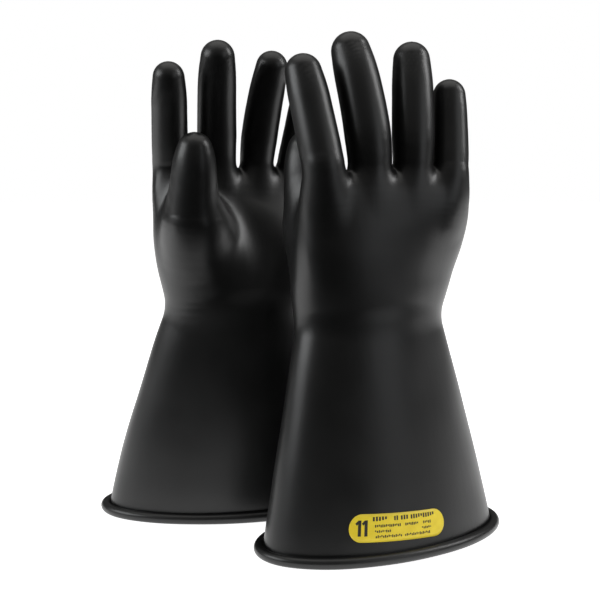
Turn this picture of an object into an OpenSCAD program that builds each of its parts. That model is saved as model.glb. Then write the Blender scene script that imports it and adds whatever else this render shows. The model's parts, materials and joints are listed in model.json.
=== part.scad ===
// Pair of electrical insulating gloves: dipped rubber gauntlets with a rolled cuff.
// Both gloves stand on their cuffs, fingers up. Each glove is drawn in its own frame:
// Z up the arm, -X towards the thumb, +Y towards the palm. The left glove is the right
// one mirrored in Y, and two placements stand the pair side by side.
// The origin is on the surface they stand on, under the middle of the pair.

/* [Cuff and gauntlet] */
// Half width of the sleeve at the cuff, outside
cuff_half_w = 95; // [86:1:102]
// Half depth of the sleeve at the cuff, outside
cuff_half_d = 52; // [46:0.5:58]
// Diameter of the rolled bead
bead_d = 7.8; // [6:0.2:10]
// Height of the wrist crease above the cuff
wrist_z = 158; // [150:1:164]
// Half width of the sleeve at the wrist, outside
wrist_half_w = 56.5; // [53:0.5:58]
// Half depth of the sleeve at the wrist, outside
wrist_half_d = 33.5; // [32:0.5:35]
// Rubber thickness
wall = 2.5; // [1.5:0.1:2.8]

/* [Digits] */
// Furthest that a finger bends towards the palm, in degrees
finger_flex = 40; // [20:1:45]
// Furthest that a finger bends backwards, in degrees
finger_back = 10; // [5:1:15]
// Clearance round each flex joint
joint_gap = 0.7; // [0.5:0.1:0.8]

/* [Label] */
// Length of the size label
label_len = 75; // [60:1:78]
// Height of the size label
label_h = 18.5; // [14:0.5:20]
// Height of the label's lower edge above the cuff
label_z = 14; // [10:0.5:20]
// Thickness of the label
label_t = 0.5; // [0.3:0.1:1]

/* [Placement] */
// Middle of the right glove's cuff
right_at = [59.55, -36.5]; // [-200:1:200]
// Turn of the right glove about Z
right_turn = 32.5; // [0:0.5:60]
// Middle of the left glove's cuff
left_at = [-50.45, 49.5]; // [-200:1:200]
// Turn of the left glove about Z
left_turn = 11; // [0:0.5:60]

/* [Hidden] */

rubber = [0.13, 0.13, 0.14];
finger_rubber = [0.2, 0.2, 0.215];
label_yellow = [0.95, 0.8, 0.1];

sleeve_sides = 48;      // sides of the sleeve and of the bead
hand_sides = 32;        // sides of the palm's sections
digit_sides = 20;       // sides of a digit
wrist_y = 12;           // the wrist lies towards the palm
wrist_gap = 0.7;        // clearance between the sleeve and the hand's skirt
wrist_flare = 14;       // height above the crease at which the palm may widen again
skirt_drop = 12;        // how far the hand's skirt reaches down inside the sleeve
band_angle = 50;        // the digit's root ball ends this far below its equator
knuckle_slope = 0.2;    // the knuckles fall back towards the little finger

// A sleeve section part of the way from the cuff to the wrist, a little fuller than a cone
function sleeve_between(t, more_w, more_d) = [
    t * wrist_z,
    cuff_half_w + t * (wrist_half_w - cuff_half_w) + more_w,
    cuff_half_d + t * (wrist_half_d - cuff_half_d) + more_d,
    t * wrist_y
];

// Sleeve sections: height, half width, half depth and middle in Y
sleeve = [
    [0, cuff_half_w, cuff_half_d, 0],
    [bead_d, cuff_half_w, cuff_half_d, 0],
    sleeve_between(0.3, 1.4, -0.3),
    sleeve_between(0.6, 1.6, -0.3),
    sleeve_between(0.85, 0.8, -0.1),
    [wrist_z, wrist_half_w, wrist_half_d, wrist_y]
];

// The hand's skirt is part of an ellipsoid about the wrist's hinge line
skirt_a = wrist_half_w - wall - wrist_gap;
skirt_b = wrist_half_d - wall - wrist_gap;
function skirt_at(h) = sqrt(1 - h * h / (skirt_b * skirt_b));

// Palm sections: height, middle in X and Y, half width, half depth, roundness
palm = concat(
    [for (h = [-skirt_drop, -6, 0, 6, 11])
        [wrist_z + h, 0, wrist_y, skirt_a * skirt_at(h), skirt_b * skirt_at(h), 2]],
    [
        [wrist_z + wrist_flare + 6, 1, 11, 57.5, 31, 2.2],
        [190, 2, 9.5, 62, 30, 2.3],
        [212, 3, 6, 65, 26.5, 2.5],
        [232, 3, 2.5, 64.5, 22, 2.6],
        [250, 2, 0.5, 63, 17.5, 2.7],
        [262, 1.5, -0.5, 61.5, 14.5, 2.7]
    ]
);

// Digits: root joint's centre, centre of the round tip, radius at root and tip, and how
// late the digit curls forward (1 is straight, 2 bends mostly towards the tip)
thumb_row = [[-35, 38, 222], [-34, 46, 277.5], 17.6, 14.4, 0.9];
index_row = [[-47.5, 3.5, 265], [-50.4, 25.5, 330], 14.9, 13.1, 1.1];
middle_row = [[-11.5, 0.5, 269], [-13.8, 21.6, 346.2], 15.6, 13.6, 1.6];
ring_row = [[20, -7, 268], [29, 8, 340.2], 14.7, 13.2, 1.4];
little_row = [[48, -14, 259], [54.8, -3, 315.8], 13.7, 11.8, 1];

// The thumb swings in and forward across the palm, about this line
thumb_axis = [-0.5, 0.866, 0];
thumb_in = 30;
thumb_out = 8;
// The index and middle fingers stop where they meet the thumb
index_flex = 22;
middle_flex = 32;

finger_roots = [
    [index_row, index_flex],
    [middle_row, middle_flex],
    [ring_row, finger_flex],
    [little_row, finger_flex]
];

function power_of(v, p) = sign(v) * pow(abs(v), 2 / p);

// A rounded section in the XY plane, from an ellipse (roundness 2) towards a rectangle
function oval(a, b, p, sides) = [
    for (i = [0:sides - 1]) let (t = 360 * i / sides) [a * power_of(cos(t), p), b * power_of(sin(t), p)]
];

function ring_3d(points, at) = [for (q = points) [q[0] + at[0], q[1] + at[1], at[2]]];

// Faces of a stack of equal rings; a closed loop of rings when wrap is true
function stack_faces(rings, sides, wrap) = [
    for (k = [0:rings - (wrap ? 1 : 2)], i = [0:sides - 1])
        let (a = k * sides, b = ((k + 1) % rings) * sides, j = (i + 1) % sides)
            each [[a + i, b + i, b + j], [a + i, b + j, a + j]]
];

// Solid stack of rings, closed with a flat face at each end
module solid_stack(rings) {
    sides = len(rings[0]);
    last = (len(rings) - 1) * sides;
    polyhedron(
        points = [for (r = rings) each r],
        faces = concat(
            stack_faces(len(rings), sides, false),
            [[for (i = [0:sides - 1]) i]],
            [[for (i = [sides - 1:-1:0]) last + i]]
        ),
        convexity = 6
    );
}

// Hollow stack: rings up the outside, then down the inside
module shell_stack(outer, inner) {
    rings = concat(outer, [for (i = [len(inner) - 1:-1:0]) inner[i]]);
    sides = len(outer[0]);
    polyhedron(
        points = [for (r = rings) each r],
        faces = stack_faces(len(rings), sides, true),
        convexity = 8
    );
}

function sleeve_rings(grow) = [
    for (s = sleeve) ring_3d(oval(s[1] + grow, s[2] + grow, 2, sleeve_sides), [0, s[3], s[0]])
];

module gauntlet() {
    color(rubber) shell_stack(sleeve_rings(0), sleeve_rings(-wall));
}

// The rolled bead lies against the outside of the sleeve, all the way round
module cuff_roll() {
    bead_r = bead_d / 2;
    reach = bead_r + 2.2;
    start = acos(2.2 / bead_r);
    steps = 8;
    profile = [
        for (k = [0:steps])
            let (t = -180 + start + (360 - 2 * start) * k / steps)
                [max(0, reach - bead_r + bead_r * cos(t)), bead_r + bead_r * sin(t)]
    ];
    color(rubber)
        polyhedron(
            points = [
                for (q = profile)
                    each ring_3d(
                        oval(cuff_half_w + q[0], cuff_half_d + q[0], 2, sleeve_sides), [0, 0, q[1]]
                    )
            ],
            faces = stack_faces(steps + 1, sleeve_sides, true),
            convexity = 6
        );
}

// A stadium-shaped patch that follows the back of the sleeve
module size_label() {
    label_turn = 6.4;
    label_tilt = 3.2;
    label_x = -12.8;
    color(label_yellow)
        difference() {
            intersection() {
                translate([label_x, 0, label_z + label_h / 2])
                    rotate([0, 0, -label_turn])
                        rotate([90, 0, 0])
                            linear_extrude(height = 2 * cuff_half_d)
                                rotate(-label_tilt)
                                    hull()
                                        for (side = [-1, 1])
                                            translate([side * (label_len - label_h) / 2, 0])
                                                circle(d = label_h, $fn = 32);
                solid_stack(sleeve_rings(label_t));
            }
            translate([0, 0, -1])
                cylinder(r = 2 * cuff_half_w, h = 1);
            solid_stack(sleeve_rings(0));
        }
}

// A palm section, sheared so that its far edge falls back from the wrist up to the knuckles
function palm_lean(z) = knuckle_slope * max(0, min(1, (z - 185) / 65));
function palm_ring(s, grow, z) = [
    for (q = oval(s[3] + grow, s[4] + grow, s[5], hand_sides))
        [s[1] + q[0], s[2] + q[1] - palm_lean(s[0]) * (q[0] + 15), z]
];

module palm_solid() {
    solid_stack([for (s = palm) palm_ring(s, 0, s[0])]);
}

// The palm's hollow: open below, and closed by a web between the fingers
module palm_hollow() {
    first = palm[0];
    last = palm[len(palm) - 1];
    solid_stack(concat(
        [palm_ring(first, -wall, first[0] - 1)],
        [for (i = [0:len(palm) - 2]) palm_ring(palm[i], -wall, palm[i][0])],
        [palm_ring(last, -wall, last[0] - wall)]
    ));
}

// The ball of the thumb, from the heel of the hand up to the thumb's root joint
module thenar_solid(grow) {
    heel = [-24, 20, 189];
    pad = [-32, 29, 205];
    steps = [heel, pad, thumb_row[0]];
    radii = [17.5, 19.2, thumb_row[2] + wall + joint_gap];
    for (i = [0, 1])
        hull()
            for (k = [i, i + 1])
                translate(steps[k])
                    rotate([0, 0, 7 * k])
                        sphere(r = radii[k] + grow, $fn = 20);
}

// Room for a root ball and for the digit's sweep about its hinge line
module flex_room(row, axis, low, high) {
    reach = digit_at(row, 0.6) - row[0];
    hull() {
        sphere_at(row[0], row[2] + joint_gap);
        for (angle = [low, (low + high) / 2, high])
            translate(row[0])
                rotate(a = angle, v = axis)
                    sphere_at(reach, row[2] + joint_gap);
    }
}

module sphere_at(at, r) {
    translate(at)
        sphere(r = r, $fn = 20);
}

module hand() {
    color(rubber)
        difference() {
            union() {
                palm_solid();
                thenar_solid(0);
            }
            palm_hollow();
            thenar_solid(-wall);
            for (f = finger_roots)
                flex_room(f[0], [-1, 0, 0], -finger_back, f[1]);
            flex_room(thumb_row, thumb_axis, -thumb_out, thumb_in);
        }
}

// One digit: a root ball, cut open below, that runs into a tapering tube with a round tip
function digit_at(row, t) = [
    row[0][0] + (row[1][0] - row[0][0]) * t,
    row[0][1] + (row[1][1] - row[0][1]) * pow(t, row[4]),
    row[0][2] + (row[1][2] - row[0][2]) * t
];
function digit_r(row, t) = row[2] + (row[3] - row[2]) * t;
function circle_ring(at, r) = ring_3d(oval(r, r, 2, digit_sides), at);

function digit_rings(row, inset) = concat(
    [
        for (a = [-band_angle:20:-10])
            circle_ring(
                row[0] + [0, 0, (row[2] - inset) * sin(a)], (row[2] - inset) * cos(a)
            )
    ],
    [for (t = [0, 0.3, 0.55, 0.8, 1]) circle_ring(digit_at(row, t), digit_r(row, t) - inset)],
    [
        for (a = [25, 50, 72])
            circle_ring(
                row[1] + [0, 0, (row[3] - inset) * sin(a)], (row[3] - inset) * cos(a)
            )
    ]
);

// The tip is closed: the outer and inner stacks each end in a small flat cap
module digit(row) {
    outer = digit_rings(row, 0);
    inner = digit_rings(row, wall);
    sides = digit_sides;
    count = len(outer);
    top = (count - 1) * sides;
    base = count * sides;
    color(finger_rubber)
        polyhedron(
            points = [for (r = concat(outer, inner)) each r],
            faces = concat(
                stack_faces(count, sides, false),
                [for (f = stack_faces(count, sides, false)) [base + f[2], base + f[1], base + f[0]]],
                [[for (i = [sides - 1:-1:0]) top + i]],
                [[for (i = [0:sides - 1]) base + top + i]],
                [
                    for (i = [0:sides - 1])
                        let (j = (i + 1) % sides)
                            each [[i, j, base + j], [i, base + j, base + i]]
                ]
            ),
            convexity = 8
        );
}

module right_place() {
    translate([right_at[0], right_at[1], 0])
        rotate([0, 0, right_turn])
            children();
}

module left_place() {
    translate([left_at[0], left_at[1], 0])
        rotate([0, 0, left_turn])
            mirror([0, 1, 0])
                children();
}

module right_gauntlet() { right_place() gauntlet(); }
module right_cuff_roll() { right_place() cuff_roll(); }
module right_size_label() { right_place() size_label(); }
module right_hand() { right_place() hand(); }
module right_thumb() { right_place() digit(thumb_row); }
module right_index_finger() { right_place() digit(index_row); }
module right_middle_finger() { right_place() digit(middle_row); }
module right_ring_finger() { right_place() digit(ring_row); }
module right_little_finger() { right_place() digit(little_row); }
module left_gauntlet() { left_place() gauntlet(); }
module left_cuff_roll() { left_place() cuff_roll(); }
module left_size_label() { left_place() size_label(); }
module left_hand() { left_place() hand(); }
module left_thumb() { left_place() digit(thumb_row); }
module left_index_finger() { left_place() digit(index_row); }
module left_middle_finger() { left_place() digit(middle_row); }
module left_ring_finger() { left_place() digit(ring_row); }
module left_little_finger() { left_place() digit(little_row); }

right_gauntlet();
right_cuff_roll();
right_size_label();
right_hand();
right_thumb();
right_index_finger();
right_middle_finger();
right_ring_finger();
right_little_finger();
left_gauntlet();
left_cuff_roll();
left_size_label();
left_hand();
left_thumb();
left_index_finger();
left_middle_finger();
left_ring_finger();
left_little_finger();
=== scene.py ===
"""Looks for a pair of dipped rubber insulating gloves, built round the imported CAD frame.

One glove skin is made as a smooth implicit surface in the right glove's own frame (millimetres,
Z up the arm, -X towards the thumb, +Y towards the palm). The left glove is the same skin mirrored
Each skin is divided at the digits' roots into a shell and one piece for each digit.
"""

import json
import math

import bpy
import numpy as np
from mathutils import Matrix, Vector


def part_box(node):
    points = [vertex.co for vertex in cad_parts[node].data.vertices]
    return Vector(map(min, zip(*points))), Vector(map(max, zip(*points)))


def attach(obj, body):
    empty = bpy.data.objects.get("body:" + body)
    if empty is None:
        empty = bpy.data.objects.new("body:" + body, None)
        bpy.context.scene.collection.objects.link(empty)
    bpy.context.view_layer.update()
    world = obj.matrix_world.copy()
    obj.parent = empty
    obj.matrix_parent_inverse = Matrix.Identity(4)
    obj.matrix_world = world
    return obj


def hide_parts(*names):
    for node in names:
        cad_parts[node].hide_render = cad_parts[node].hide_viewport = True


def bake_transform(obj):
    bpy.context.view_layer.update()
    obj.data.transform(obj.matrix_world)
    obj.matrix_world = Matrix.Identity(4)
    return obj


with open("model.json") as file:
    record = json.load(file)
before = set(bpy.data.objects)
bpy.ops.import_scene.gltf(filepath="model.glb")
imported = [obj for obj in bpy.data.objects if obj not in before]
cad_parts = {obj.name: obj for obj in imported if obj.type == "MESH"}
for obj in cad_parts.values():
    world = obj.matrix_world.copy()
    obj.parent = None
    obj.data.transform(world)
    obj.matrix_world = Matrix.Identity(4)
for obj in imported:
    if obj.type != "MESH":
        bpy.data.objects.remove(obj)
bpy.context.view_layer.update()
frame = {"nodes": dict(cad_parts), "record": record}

MM = 0.001
SIDES = ("right", "left")
DIGITS = {
    "thumb": "thumb",
    "index": "index_finger",
    "middle": "middle_finger",
    "ring": "ring_finger",
    "little": "little_finger",
}
JOINTS = {j["name"]: j for j in frame["record"]["behaviour"]["joints"]}

WALL = 2.5
WRIST_Z = JOINTS["right_wrist_flex"]["pos_m"][2] / MM
CELL = 2.0


# ---------------------------------------------------------------- placement

def placement(side):
    """The glove's middle on the ground and its turn about Z, from its cuff and its wrist's axis."""
    low, high = (np.array(v, float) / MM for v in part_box(side + "_cuff_roll"))
    axis = JOINTS[side + "_wrist_flex"]["axis"]
    sign = -1 if side == "right" else 1
    turn = math.atan2(sign * axis[1], sign * axis[0])
    return (low + high)[:2] / 2, turn


PLACE = {side: placement(side) for side in SIDES}


def to_row(points, side, is_direction=False):
    """Glove frame (mm) to row frame (mm)."""
    middle, turn = PLACE[side]
    p = np.array(points, float).reshape(-1, 3).copy()
    if side == "left":
        p[:, 1] *= -1
    c, s = math.cos(turn), math.sin(turn)
    x, y = p[:, 0] * c - p[:, 1] * s, p[:, 0] * s + p[:, 1] * c
    p[:, 0], p[:, 1] = x, y
    if not is_direction:
        p[:, :2] += middle
    return p


def to_glove(points, side):
    """Row frame (mm) to glove frame (mm)."""
    middle, turn = PLACE[side]
    p = np.array(points, float).reshape(-1, 3).copy()
    p[:, :2] -= middle
    c, s = math.cos(turn), math.sin(turn)
    x, y = p[:, 0] * c + p[:, 1] * s, -p[:, 0] * s + p[:, 1] * c
    p[:, 0], p[:, 1] = x, y
    if side == "left":
        p[:, 1] *= -1
    return p


def cad_root(digit):
    """The digit's root joint in the glove frame."""
    return to_glove(np.array(JOINTS[f"right_{digit}_flex"]["pos_m"]) / MM, "right")[0]


def cad_tip(digit):
    """The top of the digit in the glove frame."""
    mesh = frame["nodes"]["right_" + DIGITS[digit]].data
    co = np.array([v.co for v in mesh.vertices]) / MM
    top = co[co[:, 2] > co[:, 2].max() - 0.05].mean(axis=0)
    return to_glove(top, "right")[0]


# ---------------------------------------------------------------- the skin's shape

def curve(table, z):
    """Smooth values between the rows of a table whose first column is the height."""
    t = np.array(table, float)
    x, v = t[:, 0], t[:, 1:]
    slope = np.gradient(v, x, axis=0)
    i = np.clip(np.searchsorted(x, z) - 1, 0, len(x) - 2)
    h = (x[i + 1] - x[i])[:, None]
    u = np.clip((z - x[i])[:, None] / h, 0, 1)
    a, b = v[i], v[i + 1]
    m, n = slope[i] * h, slope[i + 1] * h
    from_start = (2 * u**3 - 3 * u**2 + 1) * a + (u**3 - 2 * u**2 + u) * m
    return from_start + (3 * u**2 - 2 * u**3) * b + (u**3 - u**2) * n


def blend_min(a, b, k):
    """The nearer of two surfaces, with a fillet of about k where they meet."""
    h = np.clip(0.5 + 0.5 * (b - a) / k, 0, 1)
    return b + (a - b) * h - k * h * (1 - h)


def blend_max(a, b, k):
    return -blend_min(-a, -b, k)


def oval_distance(x, y, half_w, half_d, power):
    """Distance to a rounded section in the XY plane, good near its surface."""
    qx, qy = np.abs(x) / half_w, np.abs(y) / half_d
    total = np.maximum(qx**power + qy**power, 1e-9)
    g = total ** (1 / power)
    root = total ** (1 / power - 1)
    gx = root * qx ** (power - 1) / half_w
    gy = root * qy ** (power - 1) / half_d
    return (g - 1) / np.maximum(np.hypot(gx, gy), 1.0 / (half_w + half_d))


# height, half width, half depth, middle in Y
SLEEVE = [
    (-12, 95.4, 52.6, -0.5), (0, 95.0, 52.0, 0), (10, 93.4, 51.0, 0.8), (40, 87.0, 47.2, 3.0),
    (80, 77.6, 42.7, 6.1), (120, 67.4, 38.2, 9.1), (158, 56.6, 34.2, 12.0), (190, 47.0, 30.0, 14.0),
]
# height, middle in X and Y, half width, half depth, roundness
PALM = [
    (130, -0.5, 10.4, 46.0, 27.0, 2.0),
    (158, 0.2, 12.0, 55.2, 32.6, 2.1),
    (172, 1.0, 11.2, 58.6, 32.4, 2.2),
    (190, 2.2, 9.5, 62.6, 30.6, 2.3),
    (210, 3.2, 6.5, 65.2, 27.0, 2.5),
    (228, 3.0, 3.4, 64.6, 22.6, 2.6),
    (242, 1.6, 1.2, 62.5, 18.2, 2.6),
    (254, 1.0, -0.2, 60.2, 13.8, 2.6),
    (275, 1.5, -1.0, 58.0, 10.0, 2.7),
]
# Height at which the palm closes between the fingers
PALM_TOP = 260
# Below this height the roots of the fingers run together softly
WEB_TOP = 268

# Each digit from its root joint to the centre of its round tip: radii along it, and how late
# it leans in X and in Y (1 is straight)
DIGIT_FORM = {
    "thumb": ([20.2, 19.0, 18.0, 17.0, 15.7, 13.9], 1.0, 0.9),
    "index": ([14.2, 14.3, 14.1, 13.9, 13.2, 12.3], 1.0, 1.1),
    "middle": ([14.9, 15.6, 15.3, 15.0, 14.4, 13.4], 0.7, 1.6),
    "ring": ([13.5, 14.4, 14.4, 14.1, 13.4, 12.6], 1.25, 1.4),
    "little": ([12.4, 12.8, 12.6, 12.2, 11.7, 11.1], 1.0, 1.0),
}
DIGIT_STEPS = [0, 0.25, 0.5, 0.75, 0.9, 1]
# How far the length of a digit stands off its straight course in X and Y
BOW = {"little": (1.2, 2.0)}
# The thumb's course through the heel of the hand, up to its root: place and radius
THUMB_HEEL = [(-27, 17, 150, 16.0), (-30, 21, 172, 19.0), (-34, 30, 197, 20.0)]
# How far each finger's root runs down inside the palm
FINGER_DROP = {"index": 34, "middle": 36, "ring": 35, "little": 33}


def digit_path(digit):
    """Centre line and radius of a digit from inside the palm to the centre of its round tip."""
    radii, late_x, late_y = DIGIT_FORM[digit]
    root, tip = cad_root(digit), cad_tip(digit)
    tip = tip - np.array([0, 0, radii[-1]])
    if digit == "thumb":
        rows = [np.array(p, float) for p in THUMB_HEEL]
    else:
        drop = FINGER_DROP[digit]
        lean = (root[0] - 2) * 0.05
        rows = [
            np.array([root[0] - lean * 1.6, root[1] + 1.5, root[2] - drop, radii[0] - 2.2]),
            np.array([root[0] - lean * 0.8, root[1] + 0.5, root[2] - drop / 2, radii[0] - 0.3]),
        ]
    for t in np.linspace(0, 1, 9):
        p = root + (tip - root) * np.array([t**late_x, t**late_y, t])
        p = p + np.array([*BOW.get(digit, (0, 0)), 0]) * math.sin(math.pi * min(t * 1.3, 1) / 2)
        rows.append(np.append(p, np.interp(t, DIGIT_STEPS, radii)))
    return np.array(rows)


def smooth_path(rows, steps=4):
    """A Catmull-Rom curve through the rows."""
    p = np.vstack([2 * rows[0] - rows[1], rows, 2 * rows[-1] - rows[-2]])
    out = []
    for i in range(1, len(p) - 2):
        for u in np.arange(steps) / steps:
            out.append(0.5 * (
                2 * p[i] + (p[i + 1] - p[i - 1]) * u
                + (2 * p[i - 1] - 5 * p[i] + 4 * p[i + 1] - p[i + 2]) * u**2
                + (3 * p[i] - p[i - 1] - 3 * p[i + 1] + p[i + 2]) * u**3
            ))
    return np.array(out + [rows[-1]])


PATHS = {d: smooth_path(digit_path(d)) for d in DIGITS}


FAR = 60.0


def tube_distance(p, path, reach=30.0):
    """Distance to a tapering tube with round ends. Points further than reach keep a large value."""
    low = (path[:, :3] - path[:, 3:4]).min(axis=0) - reach
    high = (path[:, :3] + path[:, 3:4]).max(axis=0) + reach
    out = np.full(len(p), FAR)
    near = np.all((p > low) & (p < high), axis=1)
    q = p[near]
    best = np.full(len(q), FAR)
    for a, b in zip(path[:-1], path[1:]):
        d = b[:3] - a[:3]
        u = np.clip(((q - a[:3]) @ d) / (d @ d), 0, 1)
        gap = np.linalg.norm(q - a[:3] - u[:, None] * d, axis=1) - (a[3] + (b[3] - a[3]) * u)
        best = np.minimum(best, gap)
    out[near] = best
    return out


# The ball of the thumb spreads across the heel of the palm: places and radii
MOUND_PATH = smooth_path(np.array([
    (-25, 30, 219, 18.0), (-19, 23, 207, 18.5), (-12, 18, 193, 19.0), (-10, 16, 178, 18.0),
    (-8, 13, 160, 15.0),
], float))
# The hollow of the palm is a round scoop
HOLLOW_MIDDLE, HOLLOW_RADIUS = np.array([12.0, 91.0, 222.0]), 60.0


# The knuckles fall back towards the little finger: the slope, the heights between which it
# grows, and the X about which the palm leans
LEAN, LEAN_FROM, LEAN_TO, LEAN_X = 0.2, 185, 250, -15
# The sleeve ends inside the hand at this height, and the palm starts inside the sleeve
SLEEVE_TOP, PALM_START = 172, 132
# Width of the fillets where the surfaces meet
FILLET = {
    "sleeve top": 14.0, "palm top": 14.0, "palm start": 8.0, "fingers": 9.0, "hollow": 18.0,
    "mound": 20.0, "thumb": 17.0, "sleeve": 5.0,
}


def palm_lean(z):
    t = np.clip((z - LEAN_FROM) / (LEAN_TO - LEAN_FROM), 0, 1)
    return LEAN * t * t * (3 - 2 * t)


def skin_distance(p):
    """Signed distance to the outside of the glove, in mm."""
    x, y, z = p[:, 0], p[:, 1], p[:, 2]
    s = curve(SLEEVE, np.clip(z, SLEEVE[0][0], SLEEVE[-1][0]))
    sleeve = oval_distance(x, y - s[:, 2], s[:, 0], s[:, 1], 2.0)
    sleeve = blend_max(sleeve, z - SLEEVE_TOP, FILLET["sleeve top"])
    m = curve(PALM, np.clip(z, PALM[0][0], PALM[-1][0]))
    leaning = y - m[:, 1] + palm_lean(z) * (x - LEAN_X)
    palm = oval_distance(x - m[:, 0], leaning, m[:, 2], m[:, 3], m[:, 4])
    palm = blend_max(palm, z - PALM_TOP, FILLET["palm top"])
    palm = blend_max(palm, PALM_START - z, FILLET["palm start"])
    # The fingers stay apart above their webs and run together softly below
    fillet = 2.4 + 8 * np.clip((WEB_TOP - z) / 16, 0, 1)
    fingers = tube_distance(p, PATHS["index"])
    for digit in ("middle", "ring", "little"):
        fingers = blend_min(fingers, tube_distance(p, PATHS[digit]), fillet)
    d = blend_min(palm, fingers, FILLET["fingers"])
    scoop = HOLLOW_RADIUS - np.linalg.norm(p - HOLLOW_MIDDLE, axis=1)
    d = blend_max(d, scoop, FILLET["hollow"])
    d = blend_min(d, tube_distance(p, MOUND_PATH), FILLET["mound"])
    d = blend_min(d, tube_distance(p, PATHS["thumb"]), FILLET["thumb"])
    d = blend_min(d, sleeve, FILLET["sleeve"])
    wave = (
        np.sin(x / 17 + z / 41) * np.sin(z / 29 + 1.3) * 0.22
        + np.sin(x / 9.5 - z / 23 + y / 14) * 0.09
        + np.sin(z / 13 + y / 11 + 0.7) * np.sin(x / 12) * 0.07
    )
    return d + wave


def in_chunks(function, p, size=400000):
    return np.concatenate([function(p[i:i + size]) for i in range(0, len(p), size)])


def surface_net(low, high, cell):
    """Quads of the zero surface of skin_distance inside a box."""
    low, high = np.array(low, float), np.array(high, float)
    n = np.ceil((high - low) / cell).astype(int) + 1
    axes = [low[k] + cell * np.arange(n[k]) for k in range(3)]
    grid = np.stack(np.meshgrid(*axes, indexing="ij"), -1).reshape(-1, 3)
    f = in_chunks(skin_distance, grid).reshape(n)
    corner = [(i, j, k) for i in (0, 1) for j in (0, 1) for k in (0, 1)]
    cells = n - 1

    def shifted(a, c):
        return a[c[0]:c[0] + cells[0], c[1]:c[1] + cells[1], c[2]:c[2] + cells[2]]

    inside = sum(shifted(f < 0, c).astype(int) for c in corner)
    active = (inside > 0) & (inside < 8)
    number = np.full(active.shape, -1)
    number[active] = np.arange(active.sum())
    where = np.argwhere(active)
    total, count = np.zeros((len(where), 3)), np.zeros(len(where))
    for a in corner:
        for k in range(3):
            if a[k]:
                continue
            b = list(a)
            b[k] = 1
            fa = f[tuple((where + a).T)]
            fb = f[tuple((where + b).T)]
            cross = (fa < 0) != (fb < 0)
            t = np.where(cross, fa / np.where(cross, fa - fb, 1), 0)
            point = np.array(a, float) + np.zeros((len(where), 3))
            point[:, k] += t
            total += np.where(cross[:, None], point, 0)
            count += cross
    verts = low + cell * (where + total / count[:, None])
    quads = []
    for k in range(3):
        a, b = (k + 1) % 3, (k + 2) % 3
        lo = [slice(None)] * 3
        hi = [slice(None)] * 3
        lo[k], hi[k] = slice(0, -1), slice(1, None)
        f0, f1 = f[tuple(lo)], f[tuple(hi)]
        for sign in (1, -1):
            at = np.argwhere(((f0 < 0) & (f1 >= 0)) if sign > 0 else ((f0 >= 0) & (f1 < 0)))
            ok = (at[:, a] > 0) & (at[:, b] > 0) & (at[:, a] < cells[a]) & (at[:, b] < cells[b])
            at = at[ok]
            ring = []
            for da, db in ((-1, -1), (0, -1), (0, 0), (-1, 0)):
                c = at.copy()
                c[:, a] += da
                c[:, b] += db
                ring.append(number[tuple(c.T)])
            ring = np.stack(ring, 1)
            quads.append(ring if sign > 0 else ring[:, ::-1])
    return verts, np.concatenate(quads)


def gradient(p, step=0.35):
    g = np.empty_like(p)
    for k in range(3):
        e = np.zeros(3)
        e[k] = step
        g[:, k] = (in_chunks(skin_distance, p + e) - in_chunks(skin_distance, p - e)) / (2 * step)
    return g


def project(p, rounds=2):
    """Moves points onto the skin along its gradient."""
    for _ in range(rounds):
        g = gradient(p)
        d = in_chunks(skin_distance, p)
        p = p - np.clip(d, -3, 3)[:, None] * g / np.maximum((g * g).sum(1), 0.2)[:, None]
    return p


def relax(p, quads, rounds=3):
    """Evens out the quads, then returns the points to the skin. The lowest ring stays."""
    edges = np.concatenate([quads[:, [0, 1]], quads[:, [1, 2]], quads[:, [2, 3]], quads[:, [3, 0]]])
    edges = np.unique(np.sort(edges, axis=1), axis=0)
    fixed = p[:, 2] < p[:, 2].min() + 0.1
    for _ in range(rounds):
        total, count = np.zeros_like(p), np.zeros(len(p))
        for a, b in ((0, 1), (1, 0)):
            np.add.at(total, edges[:, a], p[edges[:, b]])
            np.add.at(count, edges[:, a], 1)
        moved = p + 0.5 * (total / np.maximum(count, 1)[:, None] - p)
        p = np.where(fixed[:, None], p, moved)
    return project(p)


CUFF_EDGE = 1.0
NET_LOW, NET_HIGH = (-104, -64, CUFF_EDGE - 3 * CELL), (104, 84, 364)
verts, quads = surface_net(NET_LOW, NET_HIGH, CELL)
verts = relax(project(verts), quads)
# The lowest ring is cut level, inside the bead
keep = (verts[quads][:, :, 2] > CUFF_EDGE).all(axis=1)
quads = quads[keep]
used = np.unique(quads)
renumber = np.full(len(verts), -1)
renumber[used] = np.arange(len(used))
verts, quads = verts[used], renumber[quads]
border = np.sort(np.concatenate([quads[:, [i, (i + 1) % 4]] for i in range(4)]), axis=1)
border, times = np.unique(border, axis=0, return_counts=True)
rim = np.unique(border[times == 1])
rim = rim[verts[rim, 2] < 3 * CELL + 2]
verts[rim, 2] = CUFF_EDGE
normals = gradient(verts)
normals /= np.linalg.norm(normals, axis=1)[:, None]


# ---------------------------------------------------------------- dividing the skin

def at_height(digit, z):
    """The middle (XY) and radius of a finger at a height."""
    path = PATHS[digit]
    x, y, radius = (np.interp(z, path[:, 2], path[:, k]) for k in (0, 1, 3))
    return np.array([x, y]), radius


def web_top(a, b):
    """Height of the web of rubber between two neighbouring fingers."""
    heights = np.arange(240.0, 300.0, 0.5)
    points = []
    for z in heights:
        (ca, ra), (cb, rb) = at_height(a, z), at_height(b, z)
        gap = cb - ca
        length = np.linalg.norm(gap)
        c = ca + gap * (ra + (length - ra - rb) / 2) / length
        points.append((c[0], c[1], z))
    solid = skin_distance(np.array(points)) < 0.3
    return heights[solid].max()


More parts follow.
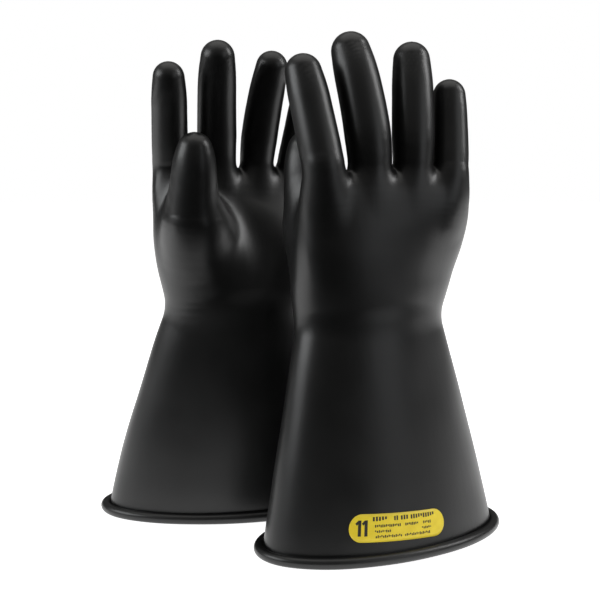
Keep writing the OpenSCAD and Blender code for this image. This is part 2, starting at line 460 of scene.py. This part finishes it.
def thumb_web_top():
    """How far along the thumb's path its back still joins the palm."""
    path = PATHS["thumb"]
    back = path[:, :3] + np.array([0.15, -1, 0.1]) * (path[:, 3:4] + 1.5)
    solid = skin_distance(back) < 0
    return path[np.nonzero(solid)[0].max(), 2]


FINGERS = ("index", "middle", "ring", "little")
WEBS = {pair: web_top(*pair) for pair in zip(FINGERS[:-1], FINGERS[1:])}
CUT_MARGIN = 1.5 * CELL
BEND_LENGTH = {"thumb": 24.0, "index": 24.0, "middle": 24.0, "ring": 24.0, "little": 22.0}


def bend_zone(digit):
    """The start of the digit's piece on its path, a point BEND_LENGTH further along, and the
    direction between them, in the glove frame.
    """
    if digit == "thumb":
        height = thumb_web_top()
    else:
        height = max(top for pair, top in WEBS.items() if digit in pair)
    path = PATHS[digit]
    z = height + 2 * CUT_MARGIN
    start = np.array([np.interp(z, path[:, 2], path[:, k]) for k in range(3)])
    ahead = np.array([np.interp(z + 12, path[:, 2], path[:, k]) for k in range(3)])
    along = (ahead - start) / np.linalg.norm(ahead - start)
    return start, start + along * BEND_LENGTH[digit], along


ZONES = {d: bend_zone(d) for d in DIGITS}
centres = verts[quads].mean(axis=1)
reach = np.stack([tube_distance(centres, PATHS[d], 40) for d in DIGITS], 1)
owner = np.full(len(quads), -1)
for k, digit in enumerate(DIGITS):
    start, end, along = ZONES[digit]
    beyond = (centres - start) @ along > -CUT_MARGIN
    owner[beyond & (reach.argmin(axis=1) == k) & (reach[:, k] < 6)] = k


def closed_piece(name, faces, side):
    """A mesh with the outside, the inside a wall's thickness in, and a rim where it is divided."""
    ids = np.unique(faces)
    back = np.full(len(verts), -1)
    back[ids] = np.arange(len(ids))
    outer = back[faces]
    count = len(ids)
    p, n = settled(verts[ids], normals[ids], side), normals[ids]
    edge = np.concatenate([outer[:, [i, (i + 1) % 4]] for i in range(4)])
    code = edge[:, 0].astype(np.int64) * count + edge[:, 1]
    twin = edge[:, 1].astype(np.int64) * count + edge[:, 0]
    open_edge = edge[~np.isin(code, twin)]
    rim_faces = np.stack(
        [open_edge[:, 1], open_edge[:, 0], open_edge[:, 0] + count, open_edge[:, 1] + count], 1
    )
    all_faces = np.concatenate([outer, outer[:, ::-1] + count, rim_faces])
    points = np.concatenate([p, p - n * WALL])
    points[count:, 2] = np.where(p[:, 2] < CUFF_EDGE + 0.01, CUFF_EDGE, points[count:, 2])
    normal = np.concatenate([n, -n])
    return make_mesh(name, points, all_faces, side, normal)


# The two gloves differ a little, as dipped gloves do: height, shift in X, and widening in X
SETTLE = {
    "right": [
        (0, 0.3, 0.995), (50, 0.2, 0.995), (100, -0.6, 1.0), (135, -1.6, 1.012),
        (162, -2.2, 1.03), (195, -0.4, 1.0), (225, -1.2, 0.975), (260, 0, 1.0), (360, 0, 1.0),
    ],
    "left": [
        (0, -1.4, 1.02), (50, -1.2, 1.02), (100, 0.1, 1.0), (135, 0.8, 0.985),
        (162, 1.2, 0.965), (195, 0.4, 0.99), (225, 0, 1.0), (260, 0, 1.0), (360, 0, 1.0),
    ],
}
# How much fuller each glove's fingers are
FULLER = {"right": 0.5, "left": -0.6}


def settled(points, normal, side):
    """Points in the glove frame with this glove's own small differences."""
    z = np.clip(points[:, 2], 0, 359.9)
    change = curve(SETTLE[side], z)
    out = points.copy()
    out[:, 0] = points[:, 0] * change[:, 1] + change[:, 0]
    if normal is not None:
        t = np.clip((points[:, 2] - 245) / 25, 0, 1)
        out += normal * (FULLER[side] * t * t * (3 - 2 * t))[:, None]
    return out


def make_mesh(name, points, faces, side, normal=None, smooth=True):
    """An object in the row frame, in metres, from points in the glove frame, in mm."""
    faces = np.array(faces)
    if side == "left":
        faces = faces[:, ::-1]
    mesh = bpy.data.meshes.new(name)
    p = to_row(points, side) * MM
    mesh.vertices.add(len(p))
    mesh.vertices.foreach_set("co", p.astype(np.float32).ravel())
    corners = faces.shape[1]
    mesh.loops.add(faces.size)
    mesh.loops.foreach_set("vertex_index", faces.ravel().astype(np.int32))
    mesh.polygons.add(len(faces))
    mesh.polygons.foreach_set("loop_start", (np.arange(len(faces)) * corners).astype(np.int32))
    mesh.polygons.foreach_set("loop_total", np.full(len(faces), corners, np.int32))
    mesh.update(calc_edges=True)
    mesh.validate()
    mesh.polygons.foreach_set("use_smooth", np.full(len(mesh.polygons), smooth))
    if normal is not None:
        mesh.normals_split_custom_set_from_vertices(to_row(normal, side, True).tolist())
    obj = bpy.data.objects.new(name, mesh)
    bpy.context.scene.collection.objects.link(obj)
    return obj


# ---------------------------------------------------------------- bead and label

def swept_bead(side):
    """The rolled bead round the cuff: a round roll that lies against the sleeve."""
    rounds, sides = 180, 28
    low, high = (np.array(v, float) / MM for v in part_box(side + "_cuff_roll"))
    radius = (high[2] - low[2]) / 2
    seat = 2.2
    half_w, half_d = SLEEVE[1][1], SLEEVE[1][2]
    turn = 2 * np.pi * np.arange(rounds) / rounds
    around = 2 * np.pi * np.arange(sides) / sides
    t, a = np.meshgrid(turn, around, indexing="ij")
    lumps = 1 + 0.012 * np.sin(5 * t + 0.6) + 0.008 * np.sin(11 * t + 2.0)
    r = radius * lumps * 0.985
    out = seat + r * np.cos(a)
    up = radius + r * np.sin(a)
    up = np.maximum(up, 0.05)
    nx, ny = np.cos(t) / half_w, np.sin(t) / half_d
    length = np.hypot(nx, ny)
    x = half_w * np.cos(t) + out * nx / length
    y = half_d * np.sin(t) + out * ny / length
    points = settled(np.stack([x, y, up], -1).reshape(-1, 3), None, side)
    i, j = np.meshgrid(np.arange(rounds), np.arange(sides), indexing="ij")
    i2, j2 = (i + 1) % rounds, (j + 1) % sides
    faces = np.stack([i * sides + j, i2 * sides + j, i2 * sides + j2, i * sides + j2], -1)
    return make_mesh(side + "_cuff_bead", points, faces.reshape(-1, 4), side)


LABEL = np.array([v.co for v in frame["nodes"]["right_size_label"].data.vertices]) / MM
LABEL = to_glove(LABEL, "right")
LABEL_LOW, LABEL_HIGH = LABEL.min(axis=0), LABEL.max(axis=0)
LABEL_Z = (LABEL_LOW[2] + LABEL_HIGH[2]) / 2
# The label's left end sits a little higher
TILT = math.radians(3.2)


def back_arc():
    """Angle on the back of the sleeve against length along it, at the label's height."""
    half_w, half_d, _ = curve(SLEEVE, np.array([LABEL_Z]))[0]
    angle = np.radians(np.linspace(200, 340, 561))
    x, y = half_w * np.cos(angle), half_d * np.sin(angle)
    step = np.hypot(np.diff(x), np.diff(y))
    length = np.concatenate([[0], np.cumsum(step)])
    ends = np.interp([LABEL_LOW[0], LABEL_HIGH[0]], x, length)
    return angle, length - ends.mean(), ends[1] - ends[0]


ARC_ANGLE, ARC_LENGTH, LABEL_LEN = back_arc()
LABEL_H = (LABEL_HIGH[2] - LABEL_LOW[2] - LABEL_LEN * math.sin(TILT)) / (1 - math.sin(TILT))


def on_back(u, v, lift):
    """Points at length u along the label and v up it, lifted off the skin."""
    along = u * math.cos(TILT) + v * math.sin(TILT)
    height = LABEL_Z + v * math.cos(TILT) - u * math.sin(TILT)
    angle = np.interp(along, ARC_LENGTH, ARC_ANGLE)
    s = curve(SLEEVE, height)
    p = project(np.stack([s[:, 0] * np.cos(angle), s[:, 2] + s[:, 1] * np.sin(angle), height], 1))
    n = gradient(p)
    n /= np.linalg.norm(n, axis=1)[:, None]
    return p + n * lift[:, None]


def patch(corners, base, top, edge=0.0):
    """A thin solid from a grid of (u, v) points: base and top are heights over the skin."""
    columns, rows = corners.shape[:2]
    lift = np.full((columns, rows), float(top))
    border = np.zeros((columns, rows), bool)
    border[[0, -1], :] = True
    border[:, [0, -1]] = True
    lift[border] -= edge
    flat = corners.reshape(-1, 2)
    points = np.concatenate([
        np.concatenate([flat, lift.reshape(-1, 1)], 1),
        np.concatenate([flat, np.full((len(flat), 1), base)], 1),
    ])
    count = columns * rows
    i, j = np.meshgrid(np.arange(columns - 1), np.arange(rows - 1), indexing="ij")
    a = (i * rows + j).ravel()
    quad = np.stack([a, a + rows, a + rows + 1, a + 1], 1)
    ring = np.concatenate([
        np.arange(columns) * rows, (columns - 1) * rows + np.arange(1, rows),
        (np.arange(columns - 2, -1, -1)) * rows + rows - 1, np.arange(rows - 2, 0, -1),
    ])
    nxt = np.roll(ring, -1)
    wall = np.stack([ring + count, nxt + count, nxt, ring], 1)
    return points, np.concatenate([quad, quad[:, ::-1] + count, wall])


def laid(parts, mirrored=False):
    """Joins the patches and lays them on the back of the sleeve. Print on the left glove is
    mirrored first, so that it reads the right way round there."""
    points = np.concatenate([p for p, _ in parts])
    shift = np.cumsum([0] + [len(p) for p, _ in parts])
    faces = np.concatenate([f + k for (_, f), k in zip(parts, shift)])
    if mirrored:
        points[:, 0] *= -1
        faces = faces[:, ::-1]
    return on_back(points[:, 0], points[:, 1], points[:, 2]), faces


LABEL_LIFT = 0.42
PRINT_LIFT = 0.5


def label_patch():
    """A stadium: straight in the middle, half circles at the ends."""
    r, straight = LABEL_H / 2, LABEL_LEN / 2 - LABEL_H / 2
    ends = np.radians(np.linspace(2, 90, 14))
    left = -straight - r * np.cos(ends)
    u = np.concatenate([left, np.linspace(-straight, straight, 26)[1:-1], -left[::-1]])
    half = np.sqrt(np.maximum(r**2 - np.maximum(np.abs(u) - straight, 0) ** 2, 0.02))
    v = half[:, None] * np.linspace(-1, 1, 9)[None, :]
    grid = np.stack([np.repeat(u[:, None], 9, 1), v], -1)
    return laid([patch(grid, -0.6, LABEL_LIFT, 0.12)])


def stroke(a, b, width):
    """A printed stroke from a to b."""
    a, b = np.array(a, float), np.array(b, float)
    along = (b - a) / np.linalg.norm(b - a)
    across = np.array([-along[1], along[0]]) * width / 2
    steps = max(2, int(np.linalg.norm(b - a) / 3) + 1)
    t = np.linspace(0, 1, steps)[:, None]
    line = a + (b - a) * t
    return patch(np.stack([line - across, line + across], 1), LABEL_LIFT - 0.05, PRINT_LIFT)


def figure_one(middle):
    """The figure 1: an upright with a sloping flag."""
    top = 5.2
    return [
        stroke((middle, -top), (middle, top), 2.2),
        stroke((middle - 2.6, top - 2.7), (middle - 0.7, top - 0.9), 1.7),
    ]


def marks(start, end, middle, height, seed):
    """A run of short upright marks in place of words."""
    count = max(2, round((end - start) / (height * 0.72)))
    pitch = (end - start) / count
    out = []
    for k in range(count):
        low = middle - height / 2 * (1.0, 0.9, 0.3, 1.0, 0.6)[(3 * k + seed) % 5]
        high = middle + height / 2 * (0.9, 1.0, 0.8, 0.4)[(k * k + seed) % 4]
        x = start + (k + 0.5) * pitch
        out.append(stroke((x, low), (x, high), pitch * 0.62))
    return out


def label_print(side):
    """The size number 11, and rows of plain marks where small print would be."""
    left = -LABEL_LEN / 2
    parts = figure_one(left + 7.4) + figure_one(left + 12.0)
    rows = [
        (5.9, 2.9, [(16.3, 27.7), (32.6, 36.4), (38, 44.5), (46.1, 66.9)]),
        (1.2, 1.9, [(18.2, 38.3), (41.5, 52.6), (56.5, 63.6)]),
        (-2.2, 1.8, [(18.2, 30.5), (55.2, 63.6)]),
        (-5.6, 1.9, [(18.8, 39), (41, 62.3)]),
    ]
    for seed, (middle, height, words) in enumerate(rows):
        for start, end in words:
            parts += marks(left + start, left + end, middle, height, seed)
    return laid(parts, side == "left")


# ---------------------------------------------------------------- materials

def node_material(name):
    material = bpy.data.materials.new(name)
    material.use_nodes = True
    tree = material.node_tree
    shader = tree.nodes["Principled BSDF"]
    return material, tree, shader


def noise(tree, vector, scale, detail=3.0, rough=0.5):
    n = tree.nodes.new("ShaderNodeTexNoise")
    n.inputs["Scale"].default_value = scale
    n.inputs["Detail"].default_value = detail
    n.inputs["Roughness"].default_value = rough
    tree.links.new(vector, n.inputs["Vector"])
    return n.outputs["Fac"]


def ramp(tree, value, low, high, out_low, out_high):
    """Maps a value between two limits to two other limits."""
    n = tree.nodes.new("ShaderNodeMapRange")
    limits = {"From Min": low, "From Max": high, "To Min": out_low, "To Max": out_high}
    for key, number in limits.items():
        n.inputs[key].default_value = number
    tree.links.new(value, n.inputs["Value"])
    return n.outputs["Result"]


def colour_ramp(tree, value, stops):
    n = tree.nodes.new("ShaderNodeValToRGB")
    ramp_ = n.color_ramp
    while len(ramp_.elements) < len(stops):
        ramp_.elements.new(0.5)
    for element, (at, colour) in zip(ramp_.elements, stops):
        element.position = at
        element.color = (*colour, 1)
    tree.links.new(value, n.inputs["Fac"])
    return n.outputs["Color"]


def bump(tree, height, distance, strength, below=None):
    n = tree.nodes.new("ShaderNodeBump")
    n.inputs["Distance"].default_value = distance
    n.inputs["Strength"].default_value = strength
    tree.links.new(height, n.inputs["Height"])
    if below is not None:
        tree.links.new(below, n.inputs["Normal"])
    return n.outputs["Normal"]


def rubber_material():
    """Satin black dipped rubber: faint mottling, flow marks down the arm, a fine skin grain."""
    material, tree, shader = node_material("dipped_rubber")
    where = tree.nodes.new("ShaderNodeTexCoord").outputs["Object"]
    stretch = tree.nodes.new("ShaderNodeMapping")
    stretch.inputs["Scale"].default_value = (1.0, 1.0, 0.16)
    tree.links.new(where, stretch.inputs["Vector"])
    clouds = noise(tree, where, 26, 4)
    flow = noise(tree, stretch.outputs["Vector"], 140, 3)
    grain = noise(tree, where, 1500, 2, 0.6)
    specks = noise(tree, where, 420, 2)
    tree.links.new(
        colour_ramp(tree, clouds, [(0.3, (0.0028, 0.0029, 0.0030)), (0.7, (0.0052, 0.0053, 0.0054))]),
        shader.inputs["Base Color"],
    )
    tree.links.new(ramp(tree, clouds, 0.3, 0.7, 0.34, 0.39), shader.inputs["Roughness"])
    shader.inputs["Specular IOR Level"].default_value = 0.5
    soft = bump(tree, flow, 0.0006, 0.10)
    mid = bump(tree, specks, 0.00015, 0.12, soft)
    tree.links.new(bump(tree, grain, 0.00005, 0.25, mid), shader.inputs["Normal"])
    return material


def label_material():
    material, tree, shader = node_material("label_film")
    where = tree.nodes.new("ShaderNodeTexCoord").outputs["Object"]
    clouds = noise(tree, where, 120, 3)
    tree.links.new(
        colour_ramp(tree, clouds, [(0.3, (0.80, 0.60, 0.022)), (0.7, (0.88, 0.69, 0.035))]),
        shader.inputs["Base Color"],
    )
    tree.links.new(ramp(tree, clouds, 0.3, 0.7, 0.36, 0.46), shader.inputs["Roughness"])
    tree.links.new(bump(tree, noise(tree, where, 900, 2), 0.00006, 0.2), shader.inputs["Normal"])
    return material


def ink_material():
    material, tree, shader = node_material("label_ink")
    where = tree.nodes.new("ShaderNodeTexCoord").outputs["Object"]
    wear = noise(tree, where, 700, 3)
    tree.links.new(
        colour_ramp(tree, wear, [(0.25, (0.006, 0.006, 0.006)), (0.8, (0.03, 0.027, 0.02))]),
        shader.inputs["Base Color"],
    )
    tree.links.new(ramp(tree, wear, 0.3, 0.7, 0.4, 0.55), shader.inputs["Roughness"])
    return material


RUBBER = rubber_material()
FILM = label_material()
INK = ink_material()


# ---------------------------------------------------------------- the gloves

def point(p, side):
    return tuple(to_row(p, side)[0] * MM)


def make_glove(side):
    shell = closed_piece(side + "_glove_shell", quads[owner == -1], side)
    shell.data.materials.append(RUBBER)
    point((0, 0, WRIST_Z - 16), side)
    point((0, 0, WRIST_Z + 15), side)
    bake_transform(shell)
    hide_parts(side + "_gauntlet", side + "_hand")
    for k, digit in enumerate(DIGITS):
        node = side + "_" + DIGITS[digit]
        skin = closed_piece(node + "_skin", quads[owner == k], side)
        skin.data.materials.append(RUBBER)
        start, end, _ = ZONES[digit]
        point(start, side)
        point(end, side)
        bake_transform(skin)
        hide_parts(node)
    bead = swept_bead(side)
    bead.data.materials.append(RUBBER)
    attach(bead, side + "_gauntlet")
    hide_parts(side + "_cuff_roll")
    points, faces = label_patch()
    film = make_mesh(side + "_label_film", settled(points, None, side), faces, side)
    film.data.materials.append(FILM)
    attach(film, side + "_gauntlet")
    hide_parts(side + "_size_label")
    points, faces = label_print(side)
    ink = make_mesh(side + "_label_print", settled(points, None, side), faces, side, smooth=False)
    ink.data.materials.append(INK)
    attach(ink, side + "_gauntlet")


for glove_side in SIDES:
    make_glove(glove_side)


# ---------------------------------------------------------------- stage, light and camera

# The table top's own light, the room's light at the horizon and overhead, and where lights point
GLOW = 0.95
ROOM = (0.01, 0.35)
MIDDLE = (0, 0, 0.2)


def make_floor():
    """A pale table top that glows faintly, so that it runs into the backdrop."""
    mesh = bpy.data.meshes.new("floor")
    size, front = 6.0, -0.22
    corners = [(-size, front, 0), (size, front, 0), (size, size, 0), (-size, size, 0)]
    mesh.from_pydata(corners, [], [(0, 1, 2, 3)])
    floor = bpy.data.objects.new("floor", mesh)
    bpy.context.scene.collection.objects.link(floor)
    material, tree, shader = node_material("floor_paint")
    where = tree.nodes.new("ShaderNodeTexCoord").outputs["Object"]
    shades = [(0.2, (0.83, 0.83, 0.835)), (0.8, (0.86, 0.86, 0.86))]
    tree.links.new(colour_ramp(tree, noise(tree, where, 3, 2), shades), shader.inputs["Base Color"])
    shader.inputs["Roughness"].default_value = 0.9
    shader.inputs["Emission Color"].default_value = (1, 1, 1, 1)
    shader.inputs["Emission Strength"].default_value = GLOW
    mesh.materials.append(material)


def make_light(name, at, target, size, radiance, colour=(1, 1, 1)):
    """A rectangular softbox that faces the target."""
    light = bpy.data.lights.new(name, "AREA")
    light.shape = "RECTANGLE"
    light.size, light.size_y = size
    light.energy = radiance * math.pi * size[0] * size[1]
    light.color = colour
    obj = bpy.data.objects.new(name, light)
    obj.location = at
    obj.rotation_euler = (Vector(target) - Vector(at)).to_track_quat("-Z", "Y").to_euler()
    bpy.context.scene.collection.objects.link(obj)


def make_world():
    """A white backdrop to the camera, and a dim room, lighter overhead, to everything else."""
    world = bpy.data.worlds.new("studio")
    bpy.context.scene.world = world
    world.use_nodes = True
    tree = world.node_tree
    room = tree.nodes["Background"]
    room.inputs["Color"].default_value = (1.0, 0.99, 0.97, 1)
    split = tree.nodes.new("ShaderNodeSeparateXYZ")
    tree.links.new(tree.nodes.new("ShaderNodeTexCoord").outputs["Generated"], split.inputs["Vector"])
    light = ramp(tree, split.outputs["Z"], 0.0, 1.0, *ROOM)
    tree.links.new(light, room.inputs["Strength"])
    seen = tree.nodes.new("ShaderNodeBackground")
    seen.inputs["Color"].default_value = (1, 1, 1, 1)
    seen.inputs["Strength"].default_value = 1.0
    mix = tree.nodes.new("ShaderNodeMixShader")
    tree.links.new(tree.nodes.new("ShaderNodeLightPath").outputs["Is Camera Ray"], mix.inputs["Fac"])
    tree.links.new(room.outputs["Background"], mix.inputs[1])
    tree.links.new(seen.outputs["Background"], mix.inputs[2])
    tree.links.new(mix.outputs["Shader"], tree.nodes["World Output"].inputs["Surface"])


make_floor()
make_world()
make_light("right_panel", (1.3, -0.93, 0.65), MIDDLE, (0.75, 1.1), 0.95, (0.96, 0.98, 1.0))
make_light("right_strip", (1.49, 0.16, 1.15), MIDDLE, (0.4, 0.9), 9.0)
make_light("left_panel", (-1.47, -0.31, 0.85), MIDDLE, (1.1, 0.75), 4.6, (0.97, 0.99, 1.0))
make_light("top_panel", (0.0, 0.1, 1.6), MIDDLE, (1.8, 1.4), 0.9, (1.0, 0.99, 0.96))


def make_camera():
    """The photo's viewpoint: a little above the middle of the pair, looking slightly down."""
    data = bpy.data.cameras.new("camera")
    data.lens = 72
    data.sensor_width = 36
    camera = bpy.data.objects.new("camera", data)
    camera.location = (0.0015, -0.8766, 0.274)
    camera.rotation_euler = (math.radians(90 - 6.9), 0, 0)
    bpy.context.scene.collection.objects.link(camera)
    bpy.context.scene.camera = camera


make_camera()
bpy.context.scene.view_settings.view_transform = "Standard"
